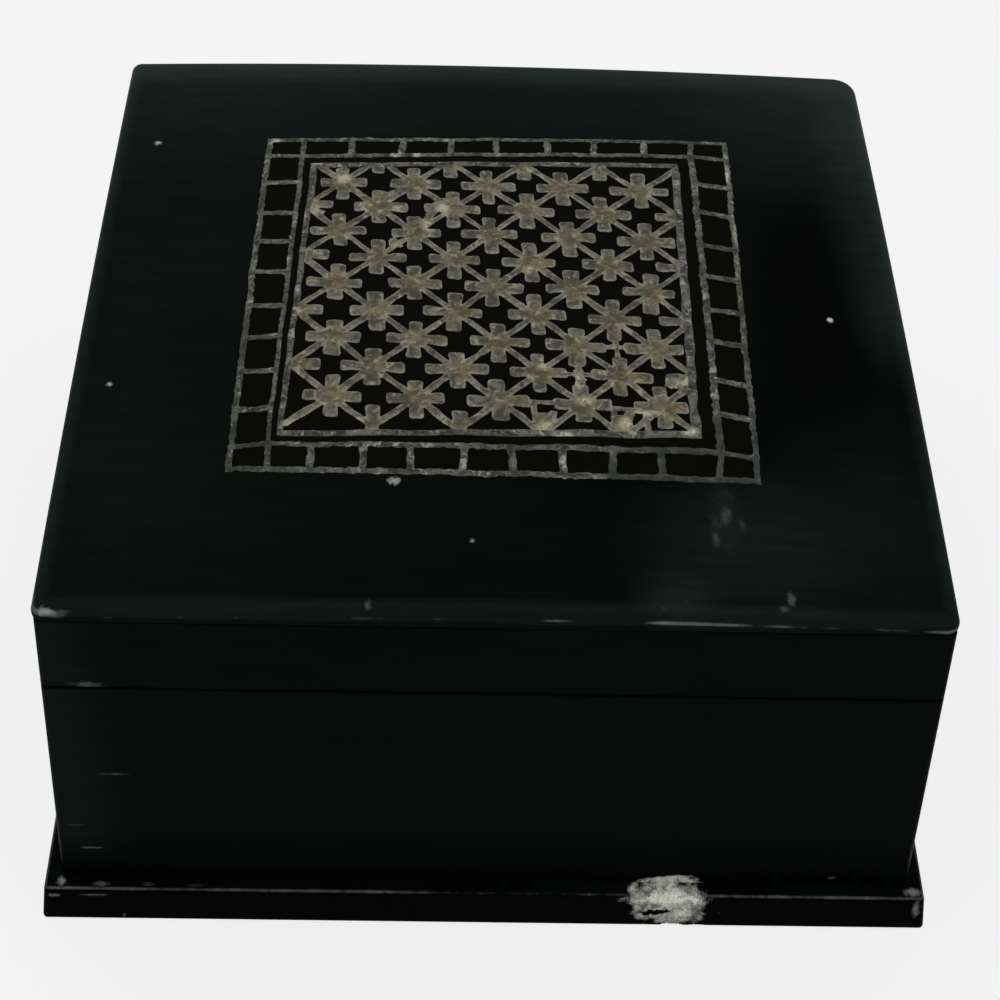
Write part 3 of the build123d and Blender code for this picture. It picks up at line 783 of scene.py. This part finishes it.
def relief_piece(name, inside, half, margin, glints, seed):
    """A thin raised sheet over the dome, wherever inside(u, v), a distance in mm, is above nought.

    A square grid keeps the cells whose corners are inside on the whole, and fills the gaps where
    two of them meet at a point. Points on the outline slide down the slope of that distance on
    to the true edge. The top rises from its edge over a third of a millimetre, stands a little
    prouder at the rim than inside it, and is lumpy in the glints, which are rows of a middle and
    a size. The underside lies in the ground, and walls join the two along the outline.
    """
    u, v = (np.arange(-h - margin, h + margin + relief_step, relief_step) for h in half)
    u, v = np.meshgrid(u, v, indexing="ij")
    depth = inside(u, v)
    kept = (depth[1:, 1:] + depth[:-1, 1:] + depth[1:, :-1] + depth[:-1, :-1]) > 0
    for _ in range(4):
        rising = kept[1:, 1:] & kept[:-1, :-1] & ~kept[1:, :-1] & ~kept[:-1, 1:]
        falling = ~kept[1:, 1:] & ~kept[:-1, :-1] & kept[1:, :-1] & kept[:-1, 1:]
        kept[1:, :-1] |= rising
        kept[1:, 1:] |= falling
    around = np.pad(kept, 1)
    beside = np.stack([around[1:, 1:], around[:-1, 1:], around[1:, :-1], around[:-1, :-1]])
    rim_point = beside.any(0) & ~beside.all(0)
    near = 0.05
    slope_u = (inside(u + near, v) - inside(u - near, v)) / (2 * near)
    slope_v = (inside(u, v + near) - inside(u, v - near)) / (2 * near)
    slide_by = np.where(rim_point, np.clip(depth, -relief_step, relief_step), 0)
    slide_by /= np.maximum(np.hypot(slope_u, slope_v), 0.4) ** 2
    u, v = u - slide_by * slope_u, v - slide_by * slope_v
    depth = np.where(rim_point, 0, inside(u, v))
    x, y = hand_laid(u, v)
    lumps = np.clip(sum(patch(x, y, (gx, gy), (rx, ry), 0.8) for gx, gy, rx, ry in glints), 0, 1)
    lumpy = lumps * (0.6 + 0.4 * ripple(x, y, 0.8, seed + 1)) * ease(0, 0.4, depth)
    rise = inlay_relief * (0.35 + 0.65 * ease(0, 0.32, depth)) - 0.07 * ease(0.35, 0.8, depth)
    rise += 0.025 * ripple(x, y, 1.6, seed) + 0.10 * lumpy
    least_rise, sunk = 0.04, 0.05
    top = np.stack([x, y, dome(x, y) + np.maximum(rise, least_rise)], axis=-1).reshape(-1, 3)
    bottom = np.stack([x, y, dome(x, y) - sunk], axis=-1).reshape(-1, 3)
    below, wide = len(top), x.shape[1]
    row, column = np.nonzero(kept)
    first = row * wide + column
    quads = np.stack([first, first + wide, first + wide + 1, first + 1], axis=-1)
    edges = np.concatenate([quads[:, [k, (k + 1) % 4]] for k in range(4)])
    there, back = edges @ [below, 1], edges @ [1, below]
    start, end = edges[~np.isin(there, back)].T
    walls = np.stack([end, start, start + below, end + below], axis=-1)
    faces = np.concatenate([quads, quads[:, ::-1] + below, walls])
    used, renumbered = np.unique(faces, return_inverse=True)
    points = np.concatenate([top, bottom])[used]
    piece = make_piece(name, points, renumbered.reshape(faces.shape), crease=50)
    rim, tone = ease(0.50, 0.10, depth), 0.5 + 0.5 * ripple(u, v, 17, seed + 2)
    for field, values in (("rim", rim), ("tone", tone), ("glint", lumps)):
        paint(piece, **{field: np.tile(values.ravel(), 2)[used]})
    return piece


rng = np.random.default_rng(71)
star_shape = {
    (i, j): rng.uniform(-1, 1, 9)
    for i in range(-stars_across, stars_across + 1)
    for j in range(-stars_across, stars_across + 1)
    if (i - j) % 2 == 0
}
star_reach, far_off = 7.5, 9.0
# bars that join two stars, from one to the other in half pitches
joined_bars = [
    ((2, -2), (4, -2)), ((3, -1), (3, -3)), ((1, -3), (3, -3)), ((2, -2), (2, -4)),
    ((4, -4.1), (2.75, -4.1)), ((2.8, -4.1), (2.75, -4.95)), ((2, -4), (0.8, -4)),
    ((0.8, -4), (0.8, -4.9)), ((3.6, -4), (3.6, -5)), ((4, -4), (5, -3.1)), ((-4, 4), (-4, 5)),
    ((-2, 4), (-3.1, 3.3)),
]
# solder that has run across gaps: start, end and half widths there, in millimetres
smears = [
    ((-8.4, 23.4), (-11.4, 17.6), 0.9, 0.8), ((-11.4, 17.6), (-12.0, 14.8), 0.9, 0.6),
    ((-17.2, 11.2), (-16.4, 10.4), 1.0, 0.8), ((-3.4, 21.5), (-3.0, 21.3), 0.6, 0.6),
    ((5.4, 5.6), (5.8, 4.2), 0.9, 0.5), ((13.3, -20.6), (13.3, -24.5), 0.7, 0.8),
    ((29.0, -22.4), (32.5, -22.6), 1.1, 1.2), ((-33.0, 21.0), (-30.0, 19.0), 0.8, 0.4),
    ((7.4, -34.2), (8.4, -30.5), 1.2, 0.6), ((20.4, -34.0), (21.2, -30.0), 1.0, 0.8),
]


def lattice_place(u, v):
    """Place in the true lattice of a point in the frame: the stars were laid a little askew.

    Their rows fall to the right in a straight line, and their middle columns lean to the left.
    """
    askew = v * (0.02 + 0.035 * (1 - (u / frame_half[0]) ** 2))
    return u - 0.35 - 0.012 * u + askew, v - 0.35 + 0.055 * u


def lattice_inside(u, v):
    """Distance inside the lattice: stars of two crossed blocks round a core, and diagonal lines.

    Every star has its own small shift, turn, arm lengths and widths.
    """
    within = np.minimum(frame_half[0] - 0.4 - np.abs(u), frame_half[1] - 0.4 - np.abs(v))
    u, v = lattice_place(u, v)
    found = np.full(np.shape(u), -far_off)
    for (i, j), (shift_u, shift_v, tilt, *vary) in star_shape.items():
        du, dv = u - i * half_pitch[0], v - j * half_pitch[1]
        near = (np.abs(du) < star_reach) & (np.abs(dv) < star_reach)
        if not near.any():
            continue
        du, dv = du[near] - 0.22 * shift_u, dv[near] - 0.22 * shift_v
        turn = 0.05 * tilt
        su, sv = du * cos(turn) + dv * sin(turn), dv * cos(turn) - du * sin(turn)
        level = block(su - 0.35 * vary[0], sv, 4.7 + 0.5 * vary[1], 1.12 + 0.14 * vary[2], 0.5)
        plumb = block(su, sv - 0.35 * vary[3], 1.16 + 0.14 * vary[4], 4.7 + 0.5 * vary[5], 0.5)
        level += 0.13 * ease(2.0, 4.2, np.abs(su)) - far_off * (abs(j) == stars_across)
        plumb += 0.13 * ease(2.0, 4.2, np.abs(sv)) - far_off * (abs(i) == stars_across)
        star = np.maximum(level, plumb)
        if stars_across not in (abs(i), abs(j)):
            core = block((su + sv) / sqrt(2), (su - sv) / sqrt(2), 2.0, 2.0, 0.5)
            star = np.maximum(star, core)
        for a, b in ((-1, -1), (-1, 1), (1, -1), (1, 1)):
            if stars_across not in (a * i, b * j):
                end = a * half_pitch[0], b * half_pitch[1]
                star = np.maximum(star, bar(du, dv, (0, 0), end, 0.53 + 0.08 * vary[2]))
        found[near] = np.maximum(found[near], star)
    for ends in joined_bars:
        start, end = np.multiply(ends, half_pitch)
        found = np.maximum(found, bar(u, v, start, end, 0.48))
    for smear in smears:
        found = np.maximum(found, bar(u, v, *smear) + 0.25 * ripple(u, v, 1.1, 75))
    return np.minimum(found, within) + 0.10 * ripple(u, v, 2.3, 72)


# where the metal is lumpy and bright: middle, and size each way
lattice_glints = [
    (-16.9, 12.6, 1.9, 1.6), (-12.0, 18.2, 1.7, 3.0), (-9.6, 23.4, 1.9, 3.0), (-3.2, 23.3, 1.1, 1.1),
    (5.5, 6.8, 1.2, 1.8), (18.7, 1.5, 0.9, 0.8), (31.3, -13.8, 1.2, 1.2), (13.3, -20.6, 1.3, 2.4),
    (8.0, -17.5, 1.9, 1.1), (-27.5, 31.6, 2.2, 2.2), (-32.2, 22.4, 1.6, 2.6), (7.6, -31.5, 1.9, 2.0),
    (20.8, -30.5, 1.9, 2.4), (24.5, -28.0, 3.6, 1.2), (31.0, -20.7, 3.2, 1.9), (-17.4, 23.0, 1.6, 1.4),
    (14.2, -25.5, 2.4, 1.5), (-33.0, -31.5, 2.4, 1.3), (31.6, -32.0, 1.6, 1.6), (-22.6, -30.8, 1.5, 1.3),
]
lattice = relief_piece("lattice_of_stars", lattice_inside, frame_half, 0, lattice_glints, 73)
u, v = np.array([vertex.co[:2] for vertex in lattice.data.vertices]).T * 1000
u, v = lattice_place(u, v - pattern_middle)
from_star = far_off
for i, j in star_shape:
    from_star = np.minimum(from_star, np.hypot(u - i * half_pitch[0], v - j * half_pitch[1]))
paint(lattice, core=ease(3.3, 1.7, from_star + 0.3 * ripple(u, v, 4, 74)))


def inlay_metal(name, dull, plain, rim, pale):
    """Tarnished pale metal: blotched with old lacquer, grey and scraped at its rims.

    Stars are olive or faintly pink about their middles, where the lacquer has stayed on.
    """
    metal = Nodes(name)
    cloud = metal.noise(420, 5, 0.7, warp=0.8)
    grit = metal.noise(1300, 5, 0.7)
    lumps = metal.noise(620, 3, 0.6, warp=0.6)
    colour = metal.mix(metal.step(cloud, 0.44, 0.56), dull, plain)
    olive, pink = (0.126, 0.108, 0.054), (0.150, 0.104, 0.066)
    middle = metal.mix(metal.step(metal.field("tone"), 0.5, 0.9), olive, pink)
    middle = metal.mix(metal.step(cloud, 0.42, 0.58, 0.8, 0), middle, (0.044, 0.037, 0.018))
    colour = metal.mix(metal.field("core"), colour, middle)
    edge = metal.times(metal.field("rim"), metal.step(cloud, 0.36, 0.56, 0.2, 1))
    colour = metal.mix(edge, colour, rim)
    colour = metal.mix(metal.step(lumps, 0.56, 0.68, 0, 0.5), colour, pale)
    colour = metal.mix(metal.step(lumps, 0.46, 0.36, 0, 0.6), colour, dull)
    colour = metal.mix(metal.step(grit, 0.5, 0.7, 0, 0.65), colour, (0.035, 0.032, 0.024))
    bright = metal.step(metal.noise(800, 5, 0.7, warp=1.0), 0.35, 0.6)
    colour = metal.mix(metal.times(metal.field("glint"), bright), colour, pale)
    colour = metal.mix(metal.field("fade"), colour, (0.008, 0.013, 0.010))
    metal.set(
        Base_Color=colour,
        Metallic=0.2,
        Roughness=metal.step(cloud, 0.3, 0.7, 0.62, 0.45),
        Normal=metal.bump(grit, 0.00008),
        Specular_IOR_Level=0.2,
    )
    return metal.material


lattice.data.materials.append(inlay_metal(
    "star_metal",
    dull=(0.036, 0.033, 0.022),
    plain=(0.102, 0.096, 0.068),
    rim=(0.190, 0.184, 0.140),
    pale=(0.35, 0.325, 0.230),
))
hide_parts("star_lattice")
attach(lattice, "lid")

# Inner frame: one flat line of the same tarnished metal, pressed into the ground as a plain
# square round the lattice, and lumpy in a few places.
frame_line = 1.3


def frame_inside(u, v):
    """Distance inside a plain rectangular line of uneven width."""
    away = np.abs(np.maximum(np.abs(u) - frame_half[0], np.abs(v) - frame_half[1]))
    return frame_line / 2 - away + 0.09 * ripple(u, v, 5, 81)


line_metal = inlay_metal(
    "line_metal",
    dull=(0.009, 0.012, 0.008),
    plain=(0.098, 0.098, 0.078),
    rim=(0.070, 0.073, 0.058),
    pale=(0.42, 0.41, 0.33),
)
frame_glints = [
    (-32.5, 36.5, 2.0, 1.2), (-34.4, 20.8, 1.0, 1.6), (-35.5, 6.0, 1.0, 1.4),
    (31.0, -31.8, 2.0, 1.5), (10.5, -33.5, 2.4, 1.2),
]
inner_frame = relief_piece("frame_line", frame_inside, frame_half, 1.5, frame_glints, 82)
inner_frame.data.materials.append(line_metal)
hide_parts("inner_frame")
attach(inner_frame, "lid")

# Ladder border: two thin lines joined by rungs, right round. They are thinner metal than the
# stars, worn through in places and nearly black towards the front right corner.
ladder_line = 1.35
rng = np.random.default_rng(91)
rungs = []
# left, right, front and back: how many rungs, which way the line runs, its side and its shift
for count, along, sign, shift in ((8, 1, -1, 0), (8, 1, 1, 0), (8, 0, -1, -1.3), (7, 0, 1, 0)):
    spaced = (np.arange(1, count + 1) / (count + 1) * 2 - 1) * inner_half[along] + shift
    for place in spaced + rng.uniform(-0.45, 0.45, count):
        skew = rng.uniform(-0.3, 0.3)
        start = place - skew, sign * inner_half[1 - along]
        end = place + skew, sign * outer_half[1 - along]
        rungs.append((start[::-1], end[::-1]) if along else (start, end))


def ladder_inside(u, v):
    """Distance inside the ladder: two rectangular lines that run on to the corners, and rungs."""
    outer = -np.abs(np.maximum(np.abs(u) - outer_half[0], np.abs(v) - outer_half[1]))
    upright = -np.maximum(np.abs(np.abs(u) - inner_half[0]), np.abs(v) - outer_half[1])
    level = -np.maximum(np.abs(np.abs(v) - inner_half[1]), np.abs(u) - outer_half[0])
    found = np.maximum(np.maximum(outer, upright), level) + 0.38 * ladder_line
    for start, end in rungs:
        found = np.maximum(found, bar(u, v, start, end, 0.45 * ladder_line))
    return found + 0.09 * ripple(u, v, 3.1, 92) + 0.10 * ripple(u, v, 1.2, 95)


ladder_glints = [
    (-17.0, -43.4, 1.6, 1.2), (-5.5, -39.5, 0.9, 2.4), (-40.5, 42.5, 1.2, 1.6), (-38.0, 27.0, 2.4, 0.8),
    (-27.0, 39.5, 1.2, 2.4), (34.0, -41.5, 1.0, 2.0), (-14.5, 39.5, 1.0, 2.4), (42.5, 18.0, 0.8, 5.0),
    (-18.5, 39.0, 1.2, 2.4), (-13.0, -43.2, 7.0, 0.6), (2.6, -39.5, 0.8, 2.4), (10.5, -39.5, 0.8, 2.2),
    (9.5, -43.2, 5.0, 0.6), (27.0, 37.0, 0.9, 2.2), (14.0, 36.4, 3.5, 0.6), (36.0, 12.0, 0.7, 4.0),
    (42.0, 36.0, 1.0, 3.6), (-43.0, 20.0, 0.8, 3.0), (-36.6, 8.0, 0.7, 3.0), (38.5, -14.2, 2.6, 0.7),
]
ladder = relief_piece("ladder_lines", ladder_inside, outer_half, 1.2, ladder_glints, 93)
x, y = np.array([vertex.co[:2] for vertex in ladder.data.vertices]).T * 1000
fading = ease(4, 30, x) * ease(-24, -40, y) * 0.8 + ease(-34, -44, x) * ease(-20, -40, y) * 0.45
fading += ease(0.1, 0.8, ripple(x, y, 11, 94)) * 0.65
paint(ladder, fade=np.clip(fading, 0, 0.85))
ladder.data.materials.append(line_metal)
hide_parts("ladder_border")
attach(ladder, "lid")

# Lid lining: the same red felt as on the floor of the box, glued up under the lid panel
# between the rails.
lid_felt = felt_square("lid_felt", "lid_lining", 52)
lid_felt.data.materials.append(felt("felt_lid"))
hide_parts("lid_lining")
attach(lid_felt, "lid")

# Floor and light: a pale seamless floor, a pale sky and two soft lamps. Seen straight or in a
# gloss, floor and sky are near white, and the floor still takes a light shadow.
backdrop_white = 0.896
sky_light = 0.68

# the floor's own shading counts for its shadow only
floor_shadow = 0.13
stage = Nodes("pale_floor")
stage.set(Base_Color=(0.95, 0.95, 0.95), Roughness=1.0, Specular_IOR_Level=0.0)
glow = stage.add("ShaderNodeEmission", {"Color": (1, 1, 1), "Strength": backdrop_white + 0.012})
glowing = stage.times(stage.seen_straight(), 1 - floor_shadow)
shaders = {0: glowing, 1: stage.shader.outputs[0], 2: glow.outputs[0]}
blend = stage.add("ShaderNodeMixShader", shaders).outputs[0]
stage.feed(stage.tree.nodes["Material Output"].inputs["Surface"], blend)
bpy.ops.mesh.primitive_circle_add(vertices=96, radius=12, fill_type="NGON", location=(0, 0, 0))
floor = bpy.context.object
floor.name = "floor"
floor.data.materials.append(stage.material)

sky = Nodes("pale_sky", "worlds", "Background")
strength = sky.add("ShaderNodeMix", {0: sky.seen_straight(), 2: sky_light, 3: backdrop_white})
sky.set(Color=(1, 1, 1), Strength=strength.outputs[0])
bpy.context.scene.world = sky.material


def soft_lamp(name, place, spread, power):
    """A far lamp as wide as a studio softbox, whose light falls evenly on floor and box."""
    data = bpy.data.lights.new(name, "SUN")
    data.angle = radians(spread)
    data.energy = power
    lamp = bpy.data.objects.new(name, data)
    bpy.context.scene.collection.objects.link(lamp)
    lamp.location = place
    lamp.rotation_euler = (-Vector(place)).to_track_quat("-Z", "Y").to_euler()


soft_lamp("window", (-0.35, 0.55, 1.4), 70, 0.75)
soft_lamp("bounce", (0.5, -0.7, 1.2), 80, 0.3)

# Camera: it stands in front, half above, as the box was photographed, turned and tipped a
# little.
camera_place = Vector((-0.00866, -0.28047, 0.32079))
yaw, pitch, roll = radians(2.20), radians(46.35), radians(2.60)
level_right = Vector((cos(yaw), -sin(yaw), 0))
forward = Vector((sin(yaw) * cos(pitch), cos(yaw) * cos(pitch), -sin(pitch)))
level_down = forward.cross(level_right)
right = cos(roll) * level_right - sin(roll) * level_down
down = sin(roll) * level_right + cos(roll) * level_down
camera_data = bpy.data.cameras.new("camera")
camera_data.sensor_width = 36
camera_data.lens = 78.0
camera_data.clip_start = 0.01
camera = bpy.data.objects.new("camera", camera_data)
bpy.context.scene.collection.objects.link(camera)
axes = Matrix((right, -down, -forward)).transposed().to_4x4()
axes.translation = camera_place
camera.matrix_world = axes
bpy.context.scene.camera = camera
bpy.context.scene.view_settings.view_transform = "Standard"
